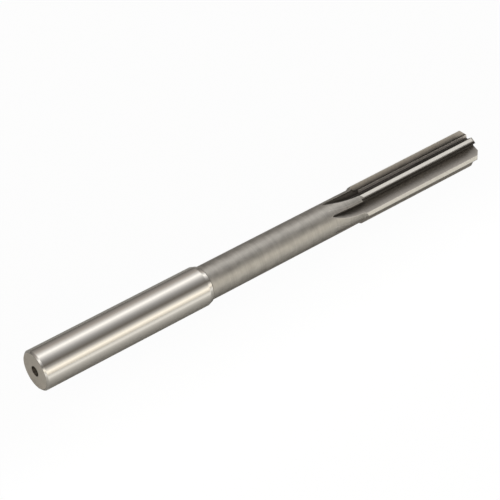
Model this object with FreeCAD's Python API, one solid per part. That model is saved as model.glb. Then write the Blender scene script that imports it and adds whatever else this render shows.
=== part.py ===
import FreeCAD, Part
import math
import os
from FreeCAD import Vector

# Machine reamer with a parallel shank and six straight flutes, right-hand cutting.
# Millimetres and degrees. X runs along the axis from the shank end to the point,
# the origin is the centre of the shank end face, and +Z is up with the tool lying down.

# Lengths along the axis
overall_length = 133.0
cutting_length = 38.0
shank_length = 46.0

# Diameters
cutting_diameter = 10.0
shank_diameter = 10.0
neck_diameter = 8.65

# Edges of the turned blank
shank_end_chamfer = 0.45
shank_bevel_length = 1.1
shank_bevel_drop = 0.35
shoulder_run = 0.2
land_ramp_length = 1.1

# Centre holes, one in each end
centre_mouth_diameter = 2.65
centre_pilot_diameter = 1.25
centre_pilot_length = 1.6
centre_cone_angle = 60.0
drill_point_angle = 120.0

# Teeth
tooth_count = 6
land_width = 1.08
margin_width = 0.2
heel_drop = 0.3
face_depth = 1.5
face_step_width = 0.47

# Flutes, milled with a disc cutter that lifts out on the neck
flute_undercut = 10.0
flute_angle = 83.0
flute_root_radius = 0.3
flute_cutter_radius = 30.0
flute_full_depth_behind_point = 37.4

# Lead at the point
lead_chamfer = 1.4
lead_angle = 45.0
lead_relief_angle = 6.0

# How far a cutting shape reaches past the metal that it removes
overcut = 1.0

cutting_radius = cutting_diameter / 2
shank_radius = shank_diameter / 2
neck_radius = neck_diameter / 2
axis = Vector(1, 0, 0)
origin = Vector(0, 0, 0)

land_start = overall_length - cutting_length
tooth_pitch = 360.0 / tooth_count
land_angle = math.degrees(land_width / cutting_radius)
margin_angle = math.degrees(margin_width / cutting_radius)
heel_radius = cutting_radius - heel_drop
step_radius = cutting_radius - face_depth


def resting_angle():
    """Angle from straight down to the cutting edge of the lower leading tooth.

    The tool lies on the cutting edge of one tooth and the heel of the next,
    so both are at the same height.
    """
    gap = math.radians(tooth_pitch - land_angle)
    rise = cutting_radius - heel_radius * math.cos(gap)
    return math.degrees(math.atan2(rise, heel_radius * math.sin(gap)))


def lower_tooth_angle():
    """Direction of that cutting edge, about the axis from +Y towards +Z."""
    return 270 - resting_angle()


def polar(radius, degrees):
    """Point of the cross-section of a tooth whose cutting edge is on +Y."""
    turn = math.radians(degrees)
    return Vector(0, radius * math.cos(turn), radius * math.sin(turn))


def turned(outline):
    """Solid of revolution about the axis, from (x, radius) pairs that start and end on it."""
    points = [Vector(x, radius, 0) for x, radius in outline]
    wire = Part.makePolygon(points + points[:1])
    return Part.Face(wire).revolve(origin, axis, 360)


def blank():
    """The turned bar: shank, bevel, shoulder, neck and the thicker part for the teeth.

    It is turned a little about its axis, so that the seam of its round faces is cut away in a flute.
    """
    bevel_radius = shank_radius - shank_bevel_drop
    bevel_end = shank_length + shank_bevel_length
    bar = turned([
        (0, 0),
        (0, shank_radius - shank_end_chamfer),
        (shank_end_chamfer, shank_radius),
        (shank_length, shank_radius),
        (bevel_end, bevel_radius),
        (bevel_end + shoulder_run, neck_radius),
        (land_start - land_ramp_length, neck_radius),
        (land_start, cutting_radius),
        (overall_length, cutting_radius),
        (overall_length, 0),
    ])
    bar.rotate(origin, axis, lower_tooth_angle() + tooth_pitch / 2)
    return bar


def centre_hole():
    """Centre hole that opens at the origin and runs along +X."""
    mouth = centre_mouth_diameter / 2
    pilot = centre_pilot_diameter / 2
    cone = (mouth - pilot) / math.tan(math.radians(centre_cone_angle / 2))
    tip = pilot / math.tan(math.radians(drill_point_angle / 2))
    floor = cone + centre_pilot_length
    return turned([
        (-overcut, 0),
        (-overcut, mouth),
        (0, mouth),
        (cone, pilot),
        (floor, pilot),
        (floor + tip, 0),
    ])


def centre_holes():
    """The two holes that the tool is ground between."""
    rear = centre_hole()
    front = centre_hole()
    front.rotate(origin, Vector(0, 0, 1), 180)
    front.translate(axis * overall_length)
    return [rear, front]


def rounded_corner(before, corner, after, radius):
    """Arc of the given radius between the two straight sides that meet at a corner."""
    to_before = (before - corner).normalize()
    to_after = (after - corner).normalize()
    half = to_before.getAngle(to_after) / 2
    reach = radius / math.tan(half)
    bisector = (to_before + to_after).normalize()
    centre = corner + bisector * (radius / math.sin(half))
    return Part.Arc(corner + to_before * reach, centre - bisector * radius, corner + to_after * reach)


def flute_corner(heel, back):
    """Where the front flank of a flute would meet its flat back, before the root is rounded."""
    flank = polar(1, flute_undercut)
    start = Vector(0, step_radius, face_step_width)
    across = heel - start
    travel = (across.y * back.z - across.z * back.y) / (flank.y * back.z - flank.z * back.y)
    return start + flank * travel


def flute_section():
    """Cross-section of the milled flute in front of the tooth on +Y, open at the top."""
    clear = cutting_radius + overcut
    heel = polar(heel_radius, tooth_pitch - land_angle)
    back = polar(1, flute_angle - flute_undercut)
    flank = polar(1, flute_undercut)
    corner = flute_corner(heel, back)
    flank_top = corner + flank * ((clear - corner.y) / flank.y)
    back_end = corner + back * ((clear - corner.z) / back.z)
    root = rounded_corner(flank_top, corner, back_end, flute_root_radius)
    lid = Vector(0, max(clear, back_end.y) + overcut, clear)
    lid_front = Vector(0, lid.y, flank_top.z)
    edges = [
        Part.makeLine(flank_top, root.StartPoint),
        root.toShape(),
        Part.makeLine(root.EndPoint, back_end),
        Part.makeLine(back_end, lid),
        Part.makeLine(lid, lid_front),
        Part.makeLine(lid_front, flank_top),
    ]
    return Part.Face(Part.Wire(edges))


def flute_cutter():
    """Metal taken by the disc cutter: a straight pass, then the curve where it lifts out."""
    section = flute_section()
    depth = section.BoundBox.YMin
    full_depth_at = overall_length - flute_full_depth_behind_point
    section.translate(axis * full_depth_at)
    straight = section.extrude(axis * (flute_full_depth_behind_point + overcut))
    hub = Vector(full_depth_at, depth + flute_cutter_radius, 0)
    clear = (cutting_radius + overcut - depth) / flute_cutter_radius
    lift = math.degrees(math.acos(1 - clear))
    runout = section.revolve(hub, Vector(0, 0, 1), -lift)
    return straight.fuse(runout)


def face_cutter():
    """Metal ground off the front of the tooth on +Y, which leaves its radial cutting face."""
    radius = face_depth + overcut
    width = face_step_width + overcut
    start = Vector(land_start - land_ramp_length + radius, step_radius, 0)
    straight = Part.makeBox(overall_length + overcut - start.x, radius, width, start)
    end = Part.makeCylinder(radius, width, start + Vector(0, radius, 0), Vector(0, 0, 1))
    return straight.fuse(end)


def relief_cutter():
    """Metal ground off behind the margin of the tooth on +Y, down to its heel."""
    margin = polar(cutting_radius, -margin_angle)
    heel = polar(heel_radius, -land_angle)
    past_heel = heel + (heel - margin).normalize() * overcut
    outward = polar(overcut, -land_angle)
    section = Part.Face(Part.makePolygon([
        margin,
        past_heel,
        past_heel + outward,
        margin + outward,
        margin,
    ]))
    start = land_start - land_ramp_length
    section.translate(axis * start)
    return section.extrude(axis * (cutting_length + land_ramp_length + overcut))


def lead_cutter():
    """Metal ground off the end of the tooth on +Y: the lead chamfer and its relief."""
    run = lead_chamfer / math.tan(math.radians(lead_angle))
    edge_start = Vector(overall_length - run, cutting_radius, 0)
    edge_end = Vector(overall_length, cutting_radius - lead_chamfer, 0)
    along = (edge_end - edge_start).normalize()
    out = Vector(-along.y, along.x, 0)
    first = edge_start - along * overcut
    last = edge_end + along * overcut
    section = Part.Face(Part.makePolygon([
        first,
        last,
        last + out * (lead_chamfer + overcut),
        first + out * (lead_chamfer + overcut),
        first,
    ]))
    behind = land_width + overcut
    ahead = face_step_width + overcut
    section.translate(Vector(0, 0, -behind))
    cutter = section.extrude(Vector(0, 0, behind + ahead))
    cutter.rotate(edge_start, along, -lead_relief_angle)
    return cutter


def tooth_cutters():
    """Everything that is cut for one tooth, turned to every tooth in turn."""
    one_tooth = [flute_cutter(), face_cutter(), relief_cutter(), lead_cutter()]
    cutters = []
    for tooth in range(tooth_count):
        for shape in one_tooth:
            placed = shape.copy()
            placed.rotate(origin, axis, lower_tooth_angle() + tooth * tooth_pitch)
            cutters.append(placed)
    return cutters


def reamer():
    """The finished tool, one solid."""
    body = blank()
    body = body.cut(centre_holes())
    body = body.cut(tooth_cutters())
    return body.removeSplitter()


def main():
    os.makedirs("parts", exist_ok=True)
    shape = reamer()
    shape.exportStep("parts/reamer.step")
    print("reamer:", len(shape.Solids), "solid, valid", shape.isValid())
    print("volume", round(shape.Volume, 1), "mm3")
    print("cutting edge", round(resting_angle(), 2), "degrees from straight down")


main()
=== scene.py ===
# %% [markdown]
# # A machine reamer, modelled and finished
#
# A machine reamer is one bar of tool steel. A plain round shank goes into the machine, a thinner
# neck follows, and six straight teeth at the far end shave a drilled hole to its exact size. The
# lesson builds its skin over a imported CAD solid, then gives each ground, turned and milled face
# the finish that its machine leaves.
#
# The CAD solid comes first, as a frame that nothing may move. A helper reads its box, which
# places the floor later. The skin must stay inside it.

import math

import bmesh
import bpy
import numpy as np
from mathutils import Matrix, Vector


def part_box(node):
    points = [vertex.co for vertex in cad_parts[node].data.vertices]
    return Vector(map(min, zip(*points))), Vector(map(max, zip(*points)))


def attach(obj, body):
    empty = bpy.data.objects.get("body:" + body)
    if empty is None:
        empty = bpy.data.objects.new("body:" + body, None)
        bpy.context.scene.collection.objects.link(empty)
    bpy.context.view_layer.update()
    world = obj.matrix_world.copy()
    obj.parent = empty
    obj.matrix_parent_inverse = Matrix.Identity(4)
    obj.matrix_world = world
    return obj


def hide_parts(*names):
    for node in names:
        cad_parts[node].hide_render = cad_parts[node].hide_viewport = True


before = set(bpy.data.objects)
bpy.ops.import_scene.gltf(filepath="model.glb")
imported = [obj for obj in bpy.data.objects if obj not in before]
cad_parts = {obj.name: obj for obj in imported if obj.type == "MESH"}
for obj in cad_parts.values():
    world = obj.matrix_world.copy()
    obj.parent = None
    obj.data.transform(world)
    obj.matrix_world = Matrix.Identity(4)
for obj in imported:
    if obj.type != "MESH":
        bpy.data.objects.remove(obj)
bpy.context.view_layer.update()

# %% [markdown]
# The sizes are those of the real tool, in millimetres: a 10 mm reamer, 133 mm long, with 38 mm of
# teeth and 46 mm of shank. Blender works in metres, so one factor turns the finished points into
# metres at the end.
#
# Every tooth is looked at in its own frame. There x runs along the tool, u points out through
# the tooth's cutting edge, and w points the way that the tooth leads.

# %% Sizes of the tool
MM = 0.001

SHANK_R, NECK_R, CUT_R = 5.0, 4.325, 5.0
SHANK_END, BEVEL_END, BEVEL_DROP, SHOULDER_RUN = 46.0, 47.1, 0.35, 0.2
END_CHAMFER = 0.45
RAMP_START, LAND_START, TOOL_END = 93.9, 95.0, 133.0
RAMP_SLOPE = (CUT_R - NECK_R) / (LAND_START - RAMP_START)

TEETH = 6
PITCH = 360.0 / TEETH
LAND_ANGLE = math.degrees(1.08 / CUT_R)
MARGIN_ANGLE = math.degrees(0.2 / CUT_R)
HEEL_R, STEP_R, STEP_WIDTH = 4.7, 3.5, 0.47
LEAD, LEAD_RELIEF = 1.4, 6.0

CENTRE_MOUTH_R, CENTRE_PILOT_R = 1.325, 0.625
CENTRE_CONE = (CENTRE_MOUTH_R - CENTRE_PILOT_R) / math.tan(math.radians(30))
CENTRE_FLOOR = CENTRE_CONE + 1.6
CENTRE_TIP = CENTRE_FLOOR + CENTRE_PILOT_R / math.tan(math.radians(60))

print("land", round(LAND_ANGLE, 2), "deg wide, margin", round(MARGIN_ANGLE, 2), "deg")

# %% [markdown]
# The tool lies on the cutting edge of one lower tooth and on the heel of the next, so both are at
# the same height. That fixes how far the ring of teeth is turned about the axis.

# %% Angle of the lowest leading tooth
gap = math.radians(PITCH - LAND_ANGLE)
lean = math.degrees(math.atan2(CUT_R - HEEL_R * math.cos(gap), HEEL_R * math.sin(gap)))
FIRST_TOOTH = 270 - lean
print("first cutting edge at", round(FIRST_TOOTH, 2), "deg from +Y towards +Z")

# %% [markdown]
# A flute is milled by a disc cutter that travels along the bar and lifts out on the neck. Its
# section is a steep flank, a rounded root and a flat back. One parameter p walks along that line:
# 0 to 1 down the flank, 1 to 2 round the root, and 2 to 3 up the back to past the next tooth.
#
# Where the disc lifts out, every point of the line rises on a circle about the disc's hub. So the
# run-out isn't drawn: it follows from the same line and the disc's radius.

# %% The line of a flute
FLANK_LEAN, BACK_LEAN, ROOT_R = 10.0, 73.0, 0.3
DISC_R, FULL_DEPTH_X = 30.0, TOOL_END - 37.4
REACH = 6.0


def polar(radius, degrees):
    turn = math.radians(degrees)
    return np.array([radius * math.cos(turn), radius * math.sin(turn)])


flank, back = polar(1, FLANK_LEAN), polar(1, BACK_LEAN)
flank_start, heel = np.array([STEP_R, STEP_WIDTH]), polar(HEEL_R, PITCH - LAND_ANGLE)
travel = np.cross(heel - flank_start, back) / np.cross(flank, back)
corner = flank_start + flank * travel
half = math.radians(BACK_LEAN - FLANK_LEAN) / 2
root_centre = corner + polar(ROOT_R / math.sin(half), (FLANK_LEAN + BACK_LEAN) / 2)
HUB_U = root_centre[0] - ROOT_R + DISC_R


def flute_line(p):
    """Point (u, w) of the flute at its full depth."""
    if p <= 1:
        end = root_centre + polar(ROOT_R, FLANK_LEAN - 90)
        return end + flank * (1 - p) * (REACH - end[0])
    if p <= 2:
        sweep = (FLANK_LEAN - 90) + (p - 1) * (BACK_LEAN - FLANK_LEAN - 180)
        return root_centre + polar(ROOT_R, sweep)
    start = root_centre + polar(ROOT_R, BACK_LEAN + 90)
    return start + back * (p - 2) * (REACH + 2 - start[0])


def flute_point(x, p):
    """The same point at a station x, lifted if the disc is on its way out."""
    u, w = flute_line(p)
    behind = max(0.0, FULL_DEPTH_X - x)
    return np.array([HUB_U - math.sqrt((HUB_U - u) ** 2 - behind ** 2), w])


print("root of the flute", round(root_centre[0] - ROOT_R, 2), "mm from the axis")

# %% [markdown]
# Above the flutes the tooth is bounded by what was turned and ground: the round bar with its short
# ramp, the relief flat behind the margin, and the lead chamfer at the point. Each gives a largest
# radius for a direction, and the metal ends at the smallest of them.

# %% The top of a tooth
LEAD_X = TOOL_END - LEAD
LEAD_SLANT = math.sqrt(2) * math.tan(math.radians(LEAD_RELIEF))
margin_back, heel_point = polar(CUT_R, -MARGIN_ANGLE), polar(HEEL_R, -LAND_ANGLE)
relief_run = heel_point - margin_back
relief_out = np.array([-relief_run[1], relief_run[0]]) / np.linalg.norm(relief_run)
RELIEF_REACH = float(relief_out @ margin_back)


def bar_radius(x):
    return min(CUT_R, max(NECK_R, NECK_R + RAMP_SLOPE * (x - RAMP_START)))


def relief_radius(degrees):
    return RELIEF_REACH / float(relief_out @ polar(1, degrees))


def lead_radius(x, degrees):
    u, w = polar(1, degrees)
    return (CUT_R + LEAD_X - x) / (u - LEAD_SLANT * w)


def top_radius(x, degrees):
    radius = bar_radius(x)
    if x > RAMP_START and degrees < -MARGIN_ANGLE:
        radius = min(radius, relief_radius(degrees))
    if x > LEAD_X - 0.1:
        radius = min(radius, lead_radius(x, degrees))
    return radius


print("relief flat reaches", round(RELIEF_REACH, 3), "mm from the axis")

# %% [markdown]
# In front of the cutting edge a wheel ground the flat cutting face down to a small step, and left
# the quarter round of its rim where it started. The floor of that cut is its height above the axis.

# %% The ground cutting face
WHEEL_R = 2.5
WHEEL_X = RAMP_START + WHEEL_R


def face_floor(x):
    """Height of the step in front of the tooth."""
    if x >= WHEEL_X:
        return STEP_R
    return STEP_R + WHEEL_R - math.sqrt(max(0.0, WHEEL_R ** 2 - (WHEEL_X - x) ** 2))


HALVINGS = 44
TINY = 1e-6


def bisect(low, high, outside):
    """Where outside() turns from false at low to true at high."""
    for _ in range(HALVINGS):
        middle = (low + high) / 2
        if outside(middle):
            high = middle
        else:
            low = middle
    return (low + high) / 2


def face_start(w):
    """Station where the floor of the cut comes out through the ramp."""
    return bisect(WHEEL_X, RAMP_START, lambda x: math.hypot(face_floor(x), w) > bar_radius(x))


print("cutting face starts at x =", round(face_start(0), 3), "mm")

# %% [markdown]
# The flute meets the rest of the tooth along two edges, one at each end of its line. Both are found
# by halving: start at the root, which is always in the groove, and walk out until the point leaves
# the metal. Where the whole line is above the neck, the flute has ended, and both edges fall on
# its deepest point.

# %% Both edges of a flute
DEEPEST = 1 + (FLANK_LEAN + 90) / (180 + FLANK_LEAN - BACK_LEAN)


def angle_of(point):
    return math.degrees(math.atan2(point[1], point[0]))


def above_metal(x, p, leading):
    point = flute_point(x, p)
    radius = math.hypot(*point)
    if leading:
        floor_cut = x > face_start_0 and point[0] > face_floor(x)
        return radius > bar_radius(x) or floor_cut
    return radius > top_radius(x, angle_of(point) - PITCH)


def flute_edge(x, leading):
    if above_metal(x, DEEPEST, leading):
        return DEEPEST
    return bisect(DEEPEST, 0.0 if leading else 3.0, lambda p: above_metal(x, p, leading))


face_start_0 = face_start(0)
RUNOUT_X = bisect(FULL_DEPTH_X, 80.0, lambda x: math.hypot(*flute_point(x, DEEPEST)) > NECK_R)
RUNOUT_ANGLE = angle_of(flute_point(RUNOUT_X, DEEPEST))
print("flutes run out on the neck at x =", round(RUNOUT_X, 2), "mm")

# %% [markdown]
# One sixth of the toothed end is a net of rings and columns. Each column keeps its place on the
# tooth from the neck to the point: relief, margin, cutting face, step, flank, root or back. So
# every edge of the real tool is an unbroken line of the net, and stays sharp.
#
# Where a face ends, its columns come together in one point. Merging by distance closes it later.

# %% Columns of the net
SPANS = (("relief", 14), ("margin", 6), ("face", 8), ("step", 12),
         ("flank", 9), ("root", 16), ("back", 16))
BUNCH = 0.35


def bunched(count):
    """Fractions from 0 to 1 that lie closer together near both ends."""
    even = np.linspace(0, 1, count + 1)
    return (1 - BUNCH) * even + BUNCH * (1 - np.cos(math.pi * even)) / 2


spans = {}
column = 0
for name, count in SPANS:
    share = np.linspace(0, 1, count + 1) if name == "root" else bunched(count)
    spans[name] = (column, column + count, share)
    column += count
COLUMNS = column
NECK_COLUMNS = sum(count for name, count in SPANS if name in ("relief", "margin", "step"))
print(COLUMNS, "columns in a sector,", NECK_COLUMNS, "of them on the neck")

# %% [markdown]
# A ring is first only a list of stations, one x for each column. Most rings are flat, but the ones
# that follow a slanting edge, such as the end of the ramp or the start of the lead, aren't. A
# second function turns the stations into points of the surface.

# %% A ring of the net
def round_angles(ring):
    """Angles of the relief, margin and step columns, which lie on the round bar."""
    x_heel = ring[0]
    heel_angle = angle_of(flute_point(x_heel, flute_edge(x_heel, False))) - PITCH
    x_step = ring[spans["step"][1]]
    step_angle = angle_of(flute_point(x_step, flute_edge(x_step, True)))
    if x_heel < RUNOUT_X + TINY:
        heel_angle, step_angle = RUNOUT_ANGLE - PITCH, RUNOUT_ANGLE
    blend = np.clip((x_heel - RUNOUT_X) / (RAMP_START - RUNOUT_X), 0, 1)
    blend = blend * blend * (3 - 2 * blend)
    counts = [spans[name][1] - spans[name][0] for name in ("relief", "margin", "step")]
    even = heel_angle + (step_angle - heel_angle) * np.cumsum(counts) / sum(counts)
    margin_at = even[0] * (1 - blend) - MARGIN_ANGLE * blend
    edge_at = even[1] * (1 - blend)
    return heel_angle, margin_at, edge_at, step_angle, blend


def ring_points(ring):
    points = np.zeros((COLUMNS + 1, 3))
    heel_angle, margin_at, edge_at, step_angle, blend = round_angles(ring)

    def fill(name, point_at):
        first, last, share = spans[name]
        for k, s in enumerate(share):
            even = k / (last - first)
            points[first + k] = point_at(ring[first + k], even * (1 - blend) + s * blend, s)

    def on_top(start, end):
        def point_at(x, s, _):
            degrees = start + (end - start) * s
            return (x, *(polar(top_radius(x, degrees), degrees)))
        return point_at

    def on_face(x, _, s):
        high = bar_radius(x) if x <= LEAD_X else CUT_R + LEAD_X - x
        low = min(face_floor(x), high) if x > face_start_0 else high
        edge = polar(high, edge_at)
        return (x, *(edge + (np.array([low, 0]) - edge) * (s if x > face_start_0 else 0)))

    def on_step(x, s, _):
        if x < face_start_0 - TINY / 1000:
            return (x, *polar(bar_radius(x), edge_at + (step_angle - edge_at) * s))
        end = flute_point(x, flute_edge(x, True))[1]
        return (x, face_floor(x), end * s)

    def on_flute(start, end):
        def point_at(x, _, s):
            if x < RUNOUT_X + TINY:
                return (x, *polar(NECK_R, RUNOUT_ANGLE))
            return (x, *flute_point(x, start(x) + (end(x) - start(x)) * s))
        return point_at

    fill("relief", on_top(heel_angle, margin_at))
    fill("margin", on_top(margin_at, edge_at))
    fill("face", on_face)
    fill("step", on_step)

    def leading(x):
        return flute_edge(x, True)

    def trailing(x):
        return flute_edge(x, False)

    fill("flank", on_flute(leading, lambda x: max(1.0, leading(x))))
    fill("root", on_flute(lambda x: max(1.0, leading(x)), lambda x: min(2.0, trailing(x))))
    fill("back", on_flute(lambda x: min(2.0, trailing(x)), trailing))
    return points


print("a ring has", COLUMNS + 1, "points")

# %% [markdown]
# Three rings are bent on purpose. One follows the line where the cutting face comes out through the
# ramp, one the line where the relief flat starts, and one the start of the lead chamfer. Along the
# back of the flute each of them slides smoothly to the station of the next tooth's heel, so that
# neighbouring sectors meet point to point.

# %% Bent rings
def flat_ring(x):
    return np.full(COLUMNS + 1, float(x))


def slide(ring, name, start, end):
    first, last, share = spans[name]
    ring[first:last + 1] = start + (end - start) * share


def face_ring():
    ring = flat_ring(face_start_0)
    first, last, share = spans["step"]
    width = flute_point(face_start_0, flute_edge(face_start_0 - 0.01, True))[1]
    for _ in range(4):
        end_x = face_start(width)
        width = flute_point(end_x, flute_edge(end_x - TINY, True))[1]
    for k, s in enumerate(share):
        ring[first + k] = face_start(width * s)
    slide(ring, "flank", ring[last], face_start_0)
    return ring


def relief_ring():
    ring = flat_ring(LAND_START)
    heel_x = bisect(RAMP_START, LAND_START, lambda x: bar_radius(x) > relief_radius(
        angle_of(flute_point(x, flute_edge(x, False))) - PITCH))
    heel_angle = angle_of(flute_point(heel_x, flute_edge(heel_x, False))) - PITCH
    first, last, share = spans["relief"]
    for k, s in enumerate(share):
        radius = relief_radius(heel_angle + (-MARGIN_ANGLE - heel_angle) * s)
        ring[first + k] = RAMP_START + (min(radius, CUT_R) - NECK_R) / RAMP_SLOPE
    slide(ring, "back", LAND_START, ring[0])
    return ring


def lead_ring():
    ring = flat_ring(LEAD_X)
    heel_angle = angle_of(flute_point(LEAD_X - 1, flute_edge(LEAD_X - 1, False))) - PITCH
    for name, start, end in (("relief", heel_angle, -MARGIN_ANGLE), ("margin", -MARGIN_ANGLE, 0)):
        first, last, share = spans[name]
        for k, s in enumerate(share):
            degrees = start + (end - start) * s
            radius = relief_radius(degrees) if name == "relief" else CUT_R
            u, w = polar(radius, degrees)
            ring[first + k] = LEAD_X + CUT_R - u + LEAD_SLANT * w
    slide(ring, "back", LEAD_X, ring[0])
    return ring


bent = {"face": face_ring(), "relief": relief_ring(), "lead": lead_ring()}
for name, ring in bent.items():
    print(name, "ring runs from x =", round(ring.min(), 3), "to", round(ring.max(), 3))

# %% [markdown]
# The rings are spaced as the shape needs: close together where the flute runs out, far apart along
# the straight teeth, where the section never changes. The last ring is carried in to the centre
# hole and down it, which closes the end face and the hole in one go.

# %% All rings of one sector
def between(first, last, steps):
    """Rings between two others, the last one included."""
    return [first + (last - first) * k / steps for k in range(1, steps + 1)]


RUNOUT_RINGS = 22
NECK_OVERLAP = 0.4
rings = [flat_ring(RUNOUT_X - NECK_OVERLAP)]
rings += [flat_ring(RUNOUT_X + (RAMP_START - RUNOUT_X) * (k / RUNOUT_RINGS) ** 2)
          for k in range(RUNOUT_RINGS + 1)]
rings += between(rings[-1], bent["face"], 3)
rings += between(rings[-1], bent["relief"], 5)
rings += between(rings[-1], flat_ring(FULL_DEPTH_X), 3)
rings += between(rings[-1], flat_ring(WHEEL_X), 4)
rings += between(rings[-1], flat_ring(LEAD_X - 0.3), 16)
rings += between(rings[-1], bent["lead"], 2)
rings += between(rings[-1], flat_ring(TOOL_END), 4)
net = [ring_points(ring) for ring in rings]
RING_JOIN_X = rings[0][0]
print(len(net), "rings, the first on the neck at x =", round(RING_JOIN_X, 2))

# %% End face and centre hole of the sector
END_RINGS = 5
MOUTH_CORNERS = {"relief": (-13, -7), "margin": (-7, -4), "face": (-4, -1), "step": (-1, 2),
                 "flank": (2, 9), "root": (9, 19), "back": (19, 47)}
mouth = np.zeros(COLUMNS + 1)
for name, (start, end) in MOUTH_CORNERS.items():
    first, last, share = spans[name]
    mouth[first:last + 1] = start + (end - start) * np.linspace(0, 1, last - first + 1)


def hole_ring(depth, radius):
    return np.array([(TOOL_END - depth, *polar(radius, degrees)) for degrees in mouth])


rim = net[-1]
opening = hole_ring(0, CENTRE_MOUTH_R)
end_rings = between(rim, opening, END_RINGS)
hole_rings = [hole_ring(CENTRE_CONE, CENTRE_PILOT_R), hole_ring(CENTRE_FLOOR, CENTRE_PILOT_R),
              hole_ring(CENTRE_TIP, 0.0)]
print("centre hole", round(CENTRE_TIP, 2), "mm deep")

# %% [markdown]
# Each face of the net gets a zone number, which later picks its finish. Each point also gets two
# numbers for the shaders: how near it is to a sharp edge, and how dark it is painted, both for oil
# that has stayed on it and as painted shade where the teeth hide the light. That darkening is
# strongest on the step, in the root and on the low half of the back.

# %% The sector as a mesh
ZONES = ("shank", "neck", "land", "flute", "flank", "tip", "end", "hole")
ZONE = {name: k for k, name in enumerate(ZONES)}
SHARP_COLUMNS = [spans["relief"][0], spans["face"][0], spans["face"][1], spans["step"][1], COLUMNS]
EDGE_SOFT = 0.10
SLACK = 1e-3


def zone_of(ring_index, column):
    if ring_index >= len(net) + len(end_rings) - 1:
        return ZONE["hole"]
    if ring_index >= len(net) - 1:
        return ZONE["end"]
    on_round = column < spans["margin"][1]
    x = rings[ring_index][column] + TINY
    on_step = spans["step"][0] <= column < spans["step"][1]
    if on_round or (on_step and x < face_start_0):
        if x < bent["relief"][column] - SLACK:
            return ZONE["neck"]
        return ZONE["tip"] if x >= bent["lead"][column] - SLACK else ZONE["land"]
    on_flank = spans["flank"][0] <= column < spans["flank"][1] and x > WHEEL_X
    return ZONE["flank"] if on_flank else ZONE["flute"]


def edge_nearness(points):
    """1 on a sharp edge, 0 from EDGE_SOFT millimetres away."""
    distance = np.min([np.linalg.norm(points - points[c], axis=1) for c in SHARP_COLUMNS], axis=0)
    return np.clip(1 - distance / EDGE_SOFT, 0, 1)


def net_mesh(name, layers, zone_at):
    width = layers[0].shape[0]
    mesh = bpy.data.meshes.new(name)
    points = np.concatenate(layers) * MM
    faces, zones = [], []
    for i in range(len(layers) - 1):
        for k in range(width - 1):
            a = i * width + k
            faces.append((a, a + 1, a + 1 + width, a + width))
            zones.append(zone_at(i, k))
    mesh.from_pydata(points.tolist(), [], faces)
    mesh.attributes.new("zone", "INT", "FACE").data.foreach_set("value", zones)
    return mesh


layers = net + end_rings + hole_rings
sector_mesh = net_mesh("tooth_sector", layers, zone_of)
near = np.concatenate([edge_nearness(points) if i < len(net) else np.zeros(COLUMNS + 1)
                       for i, points in enumerate(layers)])
sector_mesh.attributes.new("edge_near", "FLOAT", "POINT").data.foreach_set("value", near)
# How dark each part of the flute is painted, at its start, middle and end: oil that stays there, and painted
# shade where the teeth hide the light.
OIL_AND_SHADE_LEVELS = {"relief": (0, 0, 0), "margin": (0, 0, 0), "face": (0.06, 0.06, 0.20), "step": (0.60, 0.86, 0.60),
         "flank": (0.95, 0.20, 0.25), "root": (0.45, 0.88, 0.90), "back": (0.90, 0.50, 0.04)}
oil_and_shade = np.zeros(COLUMNS + 1)
for name, levels in OIL_AND_SHADE_LEVELS.items():
    first, last, share = spans[name]
    reach = np.linspace(0, 1, last - first + 1)
    oil_and_shade[first:last + 1] = np.interp(reach, (0, 0.45, 1), levels)
sector_mesh.attributes.new("oil_and_shade", "FLOAT", "POINT").data.foreach_set(
    "value", np.tile(oil_and_shade, len(layers)))
print("sector:", len(sector_mesh.vertices), "points,", len(sector_mesh.polygons), "faces")

# %% [markdown]
# The shank, bevel, shoulder and neck are turned, so they are one outline swept round the axis. The
# outline's corners get the tiny rounding that a file or a stone leaves, because a corner without
# one never catches the light.

# %% Outline of the turned part
SUPPORT = 1.5


def rounded(points, radius, steps=4):
    """The outline with each inner corner replaced by a small arc."""
    done = [points[0]]
    for before, at, after in zip(points, points[1:], points[2:]):
        at, before, after = (np.array(p[:2], float) for p in (at, before, after))
        to_before, to_after = before - at, after - at
        reach = min(radius, np.linalg.norm(to_before) / 3, np.linalg.norm(to_after) / 3)
        a = at + to_before / np.linalg.norm(to_before) * reach
        b = at + to_after / np.linalg.norm(to_after) * reach
        done.append(tuple(at + (a - at) * SUPPORT))
        for k in range(steps + 1):
            t = k / steps
            done.append(tuple(a * (1 - t) ** 2 + at * 2 * t * (1 - t) + b * t * t))
        done.append(tuple(at + (b - at) * SUPPORT))
    done.append(points[-1])
    return done


corners = [
    (CENTRE_TIP, 0.0), (CENTRE_FLOOR, CENTRE_PILOT_R), (CENTRE_CONE, CENTRE_PILOT_R),
    (0.0, CENTRE_MOUTH_R), (0.0, SHANK_R - END_CHAMFER), (END_CHAMFER, SHANK_R),
    (SHANK_END, SHANK_R), (BEVEL_END, SHANK_R - BEVEL_DROP), (BEVEL_END + SHOULDER_RUN, NECK_R),
    (RING_JOIN_X, NECK_R),
]
CORNER_ROUND = 0.05
RUN_POINTS = 24
outline = rounded(corners, CORNER_ROUND)
long_run = [(x, SHANK_R) for x in np.linspace(1, SHANK_END - 1, RUN_POINTS)]
neck_run = [(x, NECK_R) for x in np.linspace(BEVEL_END + 1, RING_JOIN_X - 1, RUN_POINTS)]
outline = outline + long_run + neck_run


def outline_order(p):
    """The outline goes out of the hole, up the end face and then along the tool."""
    x, radius = p[0], p[1]
    if radius < CENTRE_MOUTH_R + TINY and x > 0:
        return (0, -x)
    if x < TINY:
        return (1, radius)
    return (2, x)


outline.sort(key=outline_order)


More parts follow.
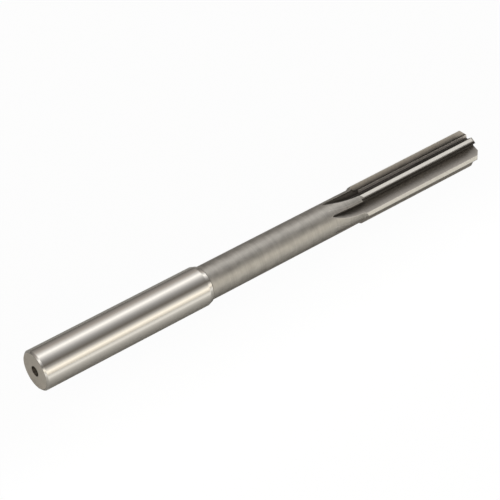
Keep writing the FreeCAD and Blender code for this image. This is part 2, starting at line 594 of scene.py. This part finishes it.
def outline_zone(a, b):
    x, radius = (a[0] + b[0]) / 2, (a[1] + b[1]) / 2
    if radius < CENTRE_MOUTH_R and x < CENTRE_TIP + 0.1:
        return ZONE["hole"]
    if x < 0.02:
        return ZONE["end"]
    # The short shoulder after the bevel takes the dark hole finish: painted shade for the corner under the
    # shank's shoulder.
    if BEVEL_END + 0.02 < x < BEVEL_END + SHOULDER_RUN + 0.07:
        return ZONE["hole"]
    return ZONE["shank"] if x < BEVEL_END + 0.02 else ZONE["neck"]


outline_mesh = bpy.data.meshes.new("turned_outline")
outline_mesh.from_pydata([(x * MM, r * MM, 0) for x, r in outline],
                         [(k, k + 1) for k in range(len(outline) - 1)], [])
outline_zones = [outline_zone(a, b) for a, b in zip(outline, outline[1:])] + [ZONE["neck"]]
outline_mesh.attributes.new("zone", "INT", "POINT").data.foreach_set("value", outline_zones)
print("outline of", len(outline), "points")

# %% [markdown]
# Geometry Nodes turn the outline and the sector into the whole tool. Both trees end in the same
# way: real geometry, points merged, edges that are sharp marked as sharp, and one material set for
# each zone. A helper adds that ending, so that it is written once.
#
# The materials must exist before a tree can name them, so they are made empty here and filled in
# later cells.

# %% Helpers for node trees
materials = {name: bpy.data.materials.new("reamer_" + name) for name in ZONES}
for material in materials.values():
    material.use_nodes = True


def add(tree, kind, links=None, **settings):
    """A node with its settings, and its input sockets linked or set by index or name."""
    node = tree.nodes.new(kind)
    for key, value in settings.items():
        setattr(node, key, value)
    for socket, value in (links or {}).items():
        target = node.inputs[socket]
        if isinstance(value, bpy.types.NodeSocket):
            tree.links.new(value, target)
        else:
            target.default_value = value
    return node


def maths(tree, operation, *values):
    """One Math node, with sockets or numbers as its values."""
    return add(tree, "ShaderNodeMath", dict(enumerate(values)), operation=operation).outputs[0]


def new_socket(tree, name, kind, way="INPUT", value=None):
    socket = tree.interface.new_socket(name=name, in_out=way, socket_type="NodeSocket" + kind)
    if value is not None:
        socket.default_value = value
    return socket


SHARP_ANGLE = math.radians(10.5)
MERGE = 0.0004 * MM


def finish_geometry(tree, geometry, merge, sharp):
    """Realize, merge, mark sharp edges and set the zones' materials."""
    real = add(tree, "GeometryNodeRealizeInstances", {"Geometry": geometry})
    merged = add(tree, "GeometryNodeMergeByDistance", {"Geometry": real.outputs[0], "Distance": merge})
    bend = add(tree, "GeometryNodeInputMeshEdgeAngle").outputs["Unsigned Angle"]
    is_sharp = add(tree, "FunctionNodeCompare", {0: bend, 1: sharp}, data_type="FLOAT",
                   operation="GREATER_THAN").outputs[0]
    smooth = add(tree, "GeometryNodeSetShadeSmooth", {"Geometry": merged.outputs[0], "Shade Smooth": True})
    sharpened = add(tree, "GeometryNodeStoreNamedAttribute",
                    {"Geometry": smooth.outputs[0], "Selection": is_sharp, "Name": "sharp_edge",
                     "Value": True},
                    data_type="BOOLEAN", domain="EDGE")
    zone = add(tree, "GeometryNodeInputNamedAttribute", {"Name": "zone"}, data_type="INT").outputs[0]
    last = sharpened.outputs[0]
    for name in ZONES:
        here = add(tree, "FunctionNodeCompare", {2: zone, 3: ZONE[name]}, data_type="INT",
                   operation="EQUAL").outputs[0]
        last = add(tree, "GeometryNodeSetMaterial",
                   {"Geometry": last, "Selection": here, "Material": materials[name]}).outputs[0]
    return last


def run_tree(tree, base_mesh, values, name):
    """A modifier with this tree on the mesh, its inputs set, and its result as a plain mesh."""
    holder = bpy.data.objects.new(name, base_mesh)
    bpy.context.scene.collection.objects.link(holder)
    modifier = holder.modifiers.new("nodes", "NODES")
    modifier.node_group = tree
    for item in tree.interface.items_tree:
        if item.item_type == "SOCKET" and item.in_out == "INPUT" and item.name in values:
            modifier[item.identifier] = values[item.name]
    shown = holder.evaluated_get(bpy.context.evaluated_depsgraph_get())
    plain = bpy.data.meshes.new_from_object(shown)
    bpy.data.objects.remove(holder)
    return plain


print(len(materials), "empty materials ready")

# %% [markdown]
# A lathe in nodes: a grid has one row for each point of the outline and one column for each step
# round the axis. Each grid point looks up its outline point by row, and is turned about X by its
# column. Curve to Mesh could do the same, but the grid says exactly which face came from which run
# of the outline, and the zones need that.

# %% Tree: turn an outline
turning = bpy.data.node_groups.new("turn_outline", "GeometryNodeTree")
new_socket(turning, "Geometry", "Geometry")
new_socket(turning, "Steps round", "Int", value=NECK_COLUMNS * TEETH)
new_socket(turning, "Start angle", "Float", value=0.0)
new_socket(turning, "Merge distance", "Float", value=MERGE)
new_socket(turning, "Sharp angle", "Float", value=SHARP_ANGLE)
new_socket(turning, "Geometry", "Geometry", "OUTPUT")
given = add(turning, "NodeGroupInput").outputs
rows = add(turning, "GeometryNodeAttributeDomainSize", {"Geometry": given["Geometry"]}).outputs["Point Count"]
across = maths(turning, "ADD", given["Steps round"], 1)
grid = add(turning, "GeometryNodeMeshGrid", {"Vertices X": rows, "Vertices Y": across})
index = add(turning, "GeometryNodeInputIndex").outputs[0]
row = maths(turning, "FLOOR", maths(turning, "DIVIDE", maths(turning, "ADD", index, 0.5), across))
step = maths(turning, "SUBTRACT", index, maths(turning, "MULTIPLY", row, across))
turn = maths(turning, "MULTIPLY", step, maths(turning, "DIVIDE", 2 * math.pi, given["Steps round"]))
turn = maths(turning, "ADD", turn, given["Start angle"])
place = add(turning, "GeometryNodeInputPosition").outputs[0]
looked_up = add(turning, "GeometryNodeSampleIndex",
                {"Geometry": given["Geometry"], "Value": place, "Index": row}, data_type="FLOAT_VECTOR")
profile = add(turning, "ShaderNodeSeparateXYZ", {0: looked_up.outputs[0]}).outputs
swept = add(turning, "ShaderNodeCombineXYZ", {
    "X": profile["X"],
    "Y": maths(turning, "MULTIPLY", profile["Y"], maths(turning, "COSINE", turn)),
    "Z": maths(turning, "MULTIPLY", profile["Y"], maths(turning, "SINE", turn))})
placed = add(turning, "GeometryNodeSetPosition", {"Geometry": grid.outputs[0], "Position": swept.outputs[0]})
face_row = maths(turning, "FLOOR", maths(turning, "DIVIDE", maths(turning, "ADD", index, 0.5),
                                         given["Steps round"]))
zone_here = add(turning, "GeometryNodeInputNamedAttribute", {"Name": "zone"}, data_type="INT").outputs[0]
row_zone = add(turning, "GeometryNodeSampleIndex",
               {"Geometry": given["Geometry"], "Value": zone_here, "Index": face_row}, data_type="INT")
zoned = add(turning, "GeometryNodeStoreNamedAttribute",
            {"Geometry": placed.outputs[0], "Name": "zone", "Value": row_zone.outputs[0]},
            data_type="INT", domain="FACE")
closed = finish_geometry(turning, zoned.outputs[0], given["Merge distance"], given["Sharp angle"])
add(turning, "NodeGroupOutput", {"Geometry": closed})

neck_turn = RUNOUT_ANGLE - PITCH + FIRST_TOOTH
turned_mesh = run_tree(turning, outline_mesh, {"Start angle": math.radians(neck_turn)}, "turned_part")
print("turned part:", len(turned_mesh.vertices), "points,", len(turned_mesh.polygons), "faces")

# %% [markdown]
# The teeth repeat six times round the axis, so one sector is instanced on six points, each turned
# by its share of a circle. The number of teeth and the first angle are inputs of the tree.

# %% Tree: a ring of teeth
ringing = bpy.data.node_groups.new("ring_of_teeth", "GeometryNodeTree")
new_socket(ringing, "Geometry", "Geometry")
new_socket(ringing, "Teeth", "Int", value=TEETH)
new_socket(ringing, "First tooth angle", "Float", value=0.0)
new_socket(ringing, "Merge distance", "Float", value=MERGE)
new_socket(ringing, "Sharp angle", "Float", value=SHARP_ANGLE)
new_socket(ringing, "Geometry", "Geometry", "OUTPUT")
given = add(ringing, "NodeGroupInput").outputs
spots = add(ringing, "GeometryNodeMeshLine", {"Count": given["Teeth"], "Offset": (0, 0, 0)})
number = add(ringing, "GeometryNodeInputIndex").outputs[0]
share = maths(ringing, "MULTIPLY", number, maths(ringing, "DIVIDE", 2 * math.pi, given["Teeth"]))
angle = maths(ringing, "ADD", share, given["First tooth angle"])
turns = add(ringing, "ShaderNodeCombineXYZ", {"X": angle}).outputs[0]
rotation = add(ringing, "FunctionNodeEulerToRotation", {0: turns}).outputs[0]
copies = add(ringing, "GeometryNodeInstanceOnPoints",
             {"Points": spots.outputs[0], "Instance": given["Geometry"], "Rotation": rotation})
closed = finish_geometry(ringing, copies.outputs[0], given["Merge distance"], given["Sharp angle"])
add(ringing, "NodeGroupOutput", {"Geometry": closed})

teeth_mesh = run_tree(ringing, sector_mesh, {"First tooth angle": math.radians(FIRST_TOOTH)}, "toothed_part")
print("toothed part:", len(teeth_mesh.vertices), "points,", len(teeth_mesh.polygons), "faces")

# %% [markdown]
# The two parts share one ring of points on the neck. Joining them and merging that ring leaves a
# single closed skin. Its normals are worked out again after the merge, so that all face outwards.

# %% Join into one closed skin
def joined(name, *meshes):
    skin = bmesh.new()
    for mesh in meshes:
        skin.from_mesh(mesh)
    bmesh.ops.remove_doubles(skin, verts=skin.verts, dist=MERGE)
    bmesh.ops.dissolve_degenerate(skin, edges=skin.edges, dist=MERGE / 4)
    bmesh.ops.recalc_face_normals(skin, faces=skin.faces)
    open_edges = sum(1 for edge in skin.edges if len(edge.link_faces) != 2)
    mesh = bpy.data.meshes.new(name)
    skin.to_mesh(mesh)
    print(name, "has", open_edges, "open edges and a volume of",
          round(skin.calc_volume(signed=True) / MM ** 3, 1), "cubic millimetres")
    skin.free()
    return mesh


reamer_mesh = joined("reamer_skin", turned_mesh, teeth_mesh)
for name in ZONES:
    if materials[name].name not in reamer_mesh.materials:
        reamer_mesh.materials.append(materials[name])
slot_of = {slot.name: k for k, slot in enumerate(reamer_mesh.materials)}
reamer_mesh.polygons.foreach_set("material_index", [
    slot_of[materials[ZONES[z.value]].name] for z in reamer_mesh.attributes["zone"].data])
for mesh in (turned_mesh, teeth_mesh, sector_mesh, outline_mesh):
    bpy.data.meshes.remove(mesh)
reamer = bpy.data.objects.new("reamer_body", reamer_mesh)
bpy.context.scene.collection.objects.link(reamer)
print("triangles:", sum(len(p.vertices) - 2 for p in reamer_mesh.polygons))

# %% [markdown]
# Several finishes share four effects, so each is a node group with named inputs. "Tool marks" are
# the fine rings that a turning tool or a grinding wheel leaves round the bar: noise that is
# squeezed hard along X. "Mottling" is the uneven tone of handled steel. The third group brightens
# the sharp edges, partly as worn metal where a stone has touched them and partly as a painted
# glint. The fourth darkens the metal, partly for oil that has stayed and partly as painted shade
# in the hollows of the flutes.

# %% Shader groups
def shader_group(name, inputs, outputs):
    group = bpy.data.node_groups.new(name, "ShaderNodeTree")
    for label, value in inputs.items():
        new_socket(group, label, "Float", value=value)
    for label in outputs:
        new_socket(group, label, "Float", "OUTPUT")
    return group, add(group, "NodeGroupInput").outputs


marks, given = shader_group("Tool marks", {"Per metre": 2200.0, "Round": 30.0}, ["Height"])
spot = add(marks, "ShaderNodeTexCoord").outputs["Object"]
stretch = add(marks, "ShaderNodeCombineXYZ", {0: given["Per metre"], 1: given["Round"], 2: given["Round"]})
squeezed = add(marks, "ShaderNodeVectorMath", {0: spot, 1: stretch.outputs[0]}, operation="MULTIPLY").outputs[0]
rings_noise = add(marks, "ShaderNodeTexNoise", {"Vector": squeezed, "Scale": 1.0, "Detail": 3.0})
add(marks, "NodeGroupOutput", {"Height": rings_noise.outputs[0]})

mottling, given = shader_group("Mottling", {"Per metre": 260.0, "Contrast": 1.0}, ["Tone"])
spot = add(mottling, "ShaderNodeTexCoord").outputs["Object"]
cloud = add(mottling, "ShaderNodeTexNoise",
            {"Vector": spot, "Scale": given["Per metre"], "Detail": 5.0}).outputs[0]
swing = maths(mottling, "MULTIPLY", maths(mottling, "SUBTRACT", cloud, 0.5), given["Contrast"])
add(mottling, "NodeGroupOutput", {"Tone": maths(mottling, "ADD", swing, 0.5)})

# Brightens sharp edges: worn metal, and a painted glint along them.
wear_and_glint, given = shader_group("Worn edge and glint", {"Strength": 0.6}, ["Mask"])
near_edge = add(wear_and_glint, "ShaderNodeAttribute", attribute_name="edge_near").outputs["Fac"]
spot = add(wear_and_glint, "ShaderNodeTexCoord").outputs["Object"]
broken = add(wear_and_glint, "ShaderNodeTexNoise", {"Vector": spot, "Scale": 1500.0, "Detail": 2.0}).outputs[0]
mask = maths(wear_and_glint, "MULTIPLY", maths(wear_and_glint, "MULTIPLY", near_edge, broken), given["Strength"])
add(wear_and_glint, "NodeGroupOutput", {"Mask": mask})

# Darkens the metal by the painted amount on each point: oil that stays in the flutes, and painted shade in
# their hollows.
oil_and_shade_group, given = shader_group("Oil and painted shade", {"Depth": 0.9}, ["Uncovered"])
oil_and_shade_here = add(oil_and_shade_group, "ShaderNodeAttribute", attribute_name="oil_and_shade").outputs["Fac"]
spot = add(oil_and_shade_group, "ShaderNodeTexCoord").outputs["Object"]
streaks = add(oil_and_shade_group, "ShaderNodeVectorMath", {0: spot, 1: (90.0, 900.0, 900.0)}, operation="MULTIPLY").outputs[0]
uneven = add(oil_and_shade_group, "ShaderNodeTexNoise", {"Vector": streaks, "Scale": 1.0, "Detail": 3.0}).outputs[0]
uneven = maths(oil_and_shade_group, "ADD", maths(oil_and_shade_group, "MULTIPLY", uneven, 0.3), 0.85)
MOST_OIL_AND_SHADE = 0.95
oil_and_shade_amount = maths(oil_and_shade_group, "MULTIPLY", maths(oil_and_shade_group, "MULTIPLY", oil_and_shade_here, uneven), given["Depth"])
covered = maths(oil_and_shade_group, "MINIMUM", oil_and_shade_amount, MOST_OIL_AND_SHADE)
add(oil_and_shade_group, "NodeGroupOutput", {"Uncovered": maths(oil_and_shade_group, "SUBTRACT", 1.0, covered)})
print("groups:", marks.name, mottling.name, wear_and_glint.name, oil_and_shade_group.name)

# %% [markdown]
# Every finish is the same steel, so one function builds them all from a short table: dark and
# light tone, roughness and its swing, the pitch and depth of the tool marks. The shank is ground
# nearly to a mirror, the neck is turned and dull, and the milled flutes look brown, darkened by oil
# and by painted shade in their hollows. The centre holes are dark inside, partly from black scale and
# partly as painted shade, and the corner under the shank's shoulder gets the same dark finish as
# painted shade. The steep flank of a flute faces away from the light, so it is drawn rougher and
# paler than the rest of the flute.

# %% Finishes
# A brighter colour for worn edges that is also a painted glint, and a dark colour for oil and painted shade.
EDGE_WEAR_AND_GLINT_COLOUR = (0.86, 0.84, 0.80, 1)
OIL_AND_SHADE_COLOUR = (0.012, 0.010, 0.008, 1)


def group_node(tree, group, **values):
    node = add(tree, "ShaderNodeGroup", node_tree=group)
    for label, value in values.items():
        node.inputs[label.replace("_", " ")].default_value = value
    return node.outputs[0]


def steel(name, dark, light, roughness, swing, per_metre, depth,
          patches=260.0, contrast=1.0, edge=0.6, oil_and_shade_depth=0.0):
    """Tones as colours, tool marks per metre, and their depth in millimetres."""
    tree = materials[name].node_tree
    surface = tree.nodes["Principled BSDF"]
    surface.inputs["Metallic"].default_value = 1.0
    height = group_node(tree, marks, Per_metre=per_metre)
    tone = group_node(tree, mottling, Per_metre=patches, Contrast=contrast)
    wear_and_glint_mask = group_node(tree, wear_and_glint, Strength=edge)
    blend = maths(tree, "MULTIPLY", maths(tree, "ADD", tone, height), 0.5)
    base = add(tree, "ShaderNodeMix", {0: blend, 6: (*dark, 1), 7: (*light, 1)}, data_type="RGBA").outputs[2]
    # Worn edges, partly a painted glint, brighten the colour.
    with_edge_wear_and_glint = add(tree, "ShaderNodeMix", {0: wear_and_glint_mask, 6: base, 7: EDGE_WEAR_AND_GLINT_COLOUR}, data_type="RGBA")
    # Oil and painted shade darken the colour where the per-point amount says.
    uncovered_share = group_node(tree, oil_and_shade_group, Depth=oil_and_shade_depth)
    final = add(tree, "ShaderNodeMix", {0: uncovered_share, 6: OIL_AND_SHADE_COLOUR, 7: with_edge_wear_and_glint.outputs[2]},
                data_type="RGBA")
    tree.links.new(final.outputs[2], surface.inputs["Base Color"])
    rough = maths(tree, "ADD", maths(tree, "MULTIPLY", tone, swing), roughness - swing / 2)
    tree.links.new(rough, surface.inputs["Roughness"])
    bump = add(tree, "ShaderNodeBump", {"Height": height, "Strength": 1.0, "Distance": depth * MM})
    tree.links.new(bump.outputs[0], surface.inputs["Normal"])
    print(name, "roughness", roughness)


steel("shank", (0.58, 0.56, 0.53), (0.66, 0.64, 0.61), 0.14, 0.03, 2500, 0.0008, contrast=0.6)
steel("neck", (0.25, 0.24, 0.225), (0.55, 0.53, 0.495), 0.46, 0.12, 2300, 0.030, patches=520, contrast=1.6)
steel("land", (0.44, 0.43, 0.405), (0.66, 0.645, 0.61), 0.33, 0.08, 5200, 0.004)
# The flute is darkened by oil and by painted shade in its hollows.
steel("flute", (0.24, 0.225, 0.205), (0.42, 0.395, 0.37), 0.36, 0.10, 1800, 0.003, patches=350, contrast=1.4,
      oil_and_shade_depth=1.0)
steel("flank", (0.66, 0.63, 0.60), (0.86, 0.83, 0.80), 0.62, 0.10, 1800, 0.003, contrast=1.2, edge=0.0)
steel("tip", (0.66, 0.64, 0.60), (0.84, 0.82, 0.77), 0.28, 0.06, 4000, 0.003)
steel("end", (0.60, 0.565, 0.515), (0.82, 0.775, 0.71), 0.50, 0.10, 900, 0.006, patches=700)
# Dark inside the centre holes, partly black scale and partly painted shade, and on the shoulder corner as
# painted shade only.
steel("hole", (0.012, 0.010, 0.007), (0.11, 0.095, 0.08), 0.50, 0.10, 3000, 0.006)

# %% [markdown]
# Polished steel shows its room more than itself. The room here is long strip lights that run
# parallel to the tool, so its brightness depends only on the angle round the X axis. A colour ramp
# over that angle is the whole room: zero is the near horizon, a quarter turn is straight up.
#
# The steel mirrors the strips, but behind the tool there is only a plain pale backdrop, so what is
# seen directly is one even tone.

# %% Studio light
STRIPS = ((-90, 0.50, 0.49, 0.47), (-8, 0.80, 0.76, 0.68), (0, 0.88, 0.83, 0.72), (9, 1.35, 1.26, 1.10),
          (17, 1.75, 1.66, 1.46), (27, 1.20, 1.15, 1.06), (39, 0.50, 0.48, 0.45), (52, 0.20, 0.18, 0.155),
          (62, 0.28, 0.265, 0.25), (74, 0.43, 0.42, 0.41), (86, 0.72, 0.71, 0.70), (98, 1.20, 1.18, 1.15),
          (108, 1.75, 1.72, 1.66), (116, 1.45, 1.43, 1.40), (124, 1.00, 0.98, 0.95), (139, 0.58, 0.53, 0.49),
          (160, 0.33, 0.31, 0.29), (180, 0.16, 0.15, 0.14), (270, 0.50, 0.49, 0.47))
BRIGHTEST = 2.0
world = bpy.data.worlds.new("studio")
bpy.context.scene.world = world
world.use_nodes = True
sky = world.node_tree
way = add(sky, "ShaderNodeSeparateXYZ", {0: add(sky, "ShaderNodeTexCoord").outputs["Generated"]}).outputs
tilt = maths(sky, "ARCTAN2", way["Z"], maths(sky, "MULTIPLY", way["Y"], -1))
whole = maths(sky, "FRACT", maths(sky, "ADD", maths(sky, "DIVIDE", tilt, 2 * math.pi), 1.25))
ramp = add(sky, "ShaderNodeValToRGB", {0: whole})
while len(ramp.color_ramp.elements) < len(STRIPS):
    ramp.color_ramp.elements.new(0.5)
for stop, (degrees, *colour) in zip(ramp.color_ramp.elements, STRIPS):
    stop.position = (degrees + 90) / 360
for stop, (degrees, *colour) in zip(ramp.color_ramp.elements, STRIPS):
    stop.color = (*[c / BRIGHTEST for c in colour], 1)
background = sky.nodes["Background"]
sky.links.new(ramp.outputs[0], background.inputs["Color"])
background.inputs["Strength"].default_value = BRIGHTEST
backdrop = add(sky, "ShaderNodeBackground", {"Color": (0.97, 0.97, 0.97, 1), "Strength": 1.0})
seen_directly = add(sky, "ShaderNodeLightPath").outputs["Is Camera Ray"]
room = add(sky, "ShaderNodeMixShader", {0: seen_directly, 1: background.outputs[0], 2: backdrop.outputs[0]})
sky.links.new(room.outputs[0], sky.nodes["World Output"].inputs["Surface"])
print(len(STRIPS), "stops round the room")

# %% [markdown]
# The floor is a plain pale sheet that touches the lowest line of the shank. It is lit so evenly
# that it looks white to the eye, while the steel still mirrors its surface, whose shade is painted:
# a painted shadow right beside the tool and behind it, and a painted glow a little way in front.

# %% Floor
FLOOR_GAP = 0.02 * MM
low_corner, high_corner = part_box("reamer")
bpy.ops.mesh.primitive_plane_add(size=3.0, location=(high_corner.x / 2, 0, low_corner.z - FLOOR_GAP))
floor = bpy.context.object
floor.name = "floor"
paper = bpy.data.materials.new("pale_floor")
paper.use_nodes = True
sheet = paper.node_tree
matt = sheet.nodes["Principled BSDF"]
SHEET_FROM, SHEET_TO = -150, 60
# Painted shadow: the floor's tone, darker beside and behind the tool.
SHEET_TONES_WITH_PAINTED_SHADE = ((SHEET_FROM, 0.93), (-45, 0.95), (-27, 0.97), (-12, 0.72), (-8, 0.56), (0, 0.50),
               (12, 0.42), (SHEET_TO, 0.42))
# Painted glow: emission a little way in front of the tool, not a lamp.
SHEET_PAINTED_GLOW = ((SHEET_FROM, 0.12), (-60, 0.25), (-27, 0.46), (-16, 0.10), (-11, 0.0))
on_sheet = add(sheet, "ShaderNodeTexCoord").outputs["Object"]
along_y = add(sheet, "ShaderNodeSeparateXYZ", {0: on_sheet}).outputs["Y"]
across_sheet = add(sheet, "ShaderNodeMapRange",
                   {0: along_y, 1: SHEET_FROM * MM, 2: SHEET_TO * MM}).outputs[0]


def sheet_ramp(tones):
    node = add(sheet, "ShaderNodeValToRGB", {0: across_sheet})
    while len(node.color_ramp.elements) < len(tones):
        node.color_ramp.elements.new(0.5)
    for stop, (y, _) in zip(node.color_ramp.elements, tones):
        stop.position = (y - SHEET_FROM) / (SHEET_TO - SHEET_FROM)
    for stop, (_, tone) in zip(node.color_ramp.elements, tones):
        stop.color = (tone, tone, tone * 0.97, 1)
    return node.outputs[0]


sheet.links.new(sheet_ramp(SHEET_TONES_WITH_PAINTED_SHADE), matt.inputs["Base Color"])
sheet.links.new(sheet_ramp(SHEET_PAINTED_GLOW), matt.inputs["Emission Color"])
matt.inputs["Emission Strength"].default_value = 1.0
matt.inputs["Roughness"].default_value = 0.9
glow = add(sheet, "ShaderNodeEmission", {"Color": (1, 1, 1, 1), "Strength": 1.0})
seen = add(sheet, "ShaderNodeLightPath").outputs["Is Camera Ray"]
both = add(sheet, "ShaderNodeMixShader", {0: maths(sheet, "MULTIPLY", seen, 0.97), 1: matt.outputs[0],
                                          2: glow.outputs[0]})
sheet.links.new(both.outputs[0], sheet.nodes["Material Output"].inputs["Surface"])
floor.data.materials.append(paper)
print("floor at z =", round(low_corner.z / MM, 2), "mm")

# %% [markdown]
# A long lens looks down along the tool from the shank's side, so the near end stays only a little
# larger than the far one.

# %% Camera
CAMERA_AT = Vector((-161.5, -260.2, 316.5))
FOCAL_LENGTH, SENSOR_WIDTH = 141.07, 36.0
lens = bpy.data.cameras.new("long_lens")
lens.lens, lens.sensor_width, lens.sensor_fit = FOCAL_LENGTH, SENSOR_WIDTH, "HORIZONTAL"
camera = bpy.data.objects.new("camera", lens)
bpy.context.scene.collection.objects.link(camera)
right, up = Vector((0.7798, -0.6251, 0.0356)), Vector((0.4018, 0.5432, 0.7371))
turned_to = Matrix((right, up, right.cross(up))).transposed().to_4x4()
camera.matrix_world = Matrix.Translation(CAMERA_AT * MM) @ turned_to
bpy.context.scene.camera = camera
bpy.context.scene.view_settings.view_transform = "Standard"
print("camera", round(camera.location.length, 3), "m from the shank end")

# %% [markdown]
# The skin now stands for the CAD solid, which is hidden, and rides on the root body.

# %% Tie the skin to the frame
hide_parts("reamer")
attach(reamer, "root")
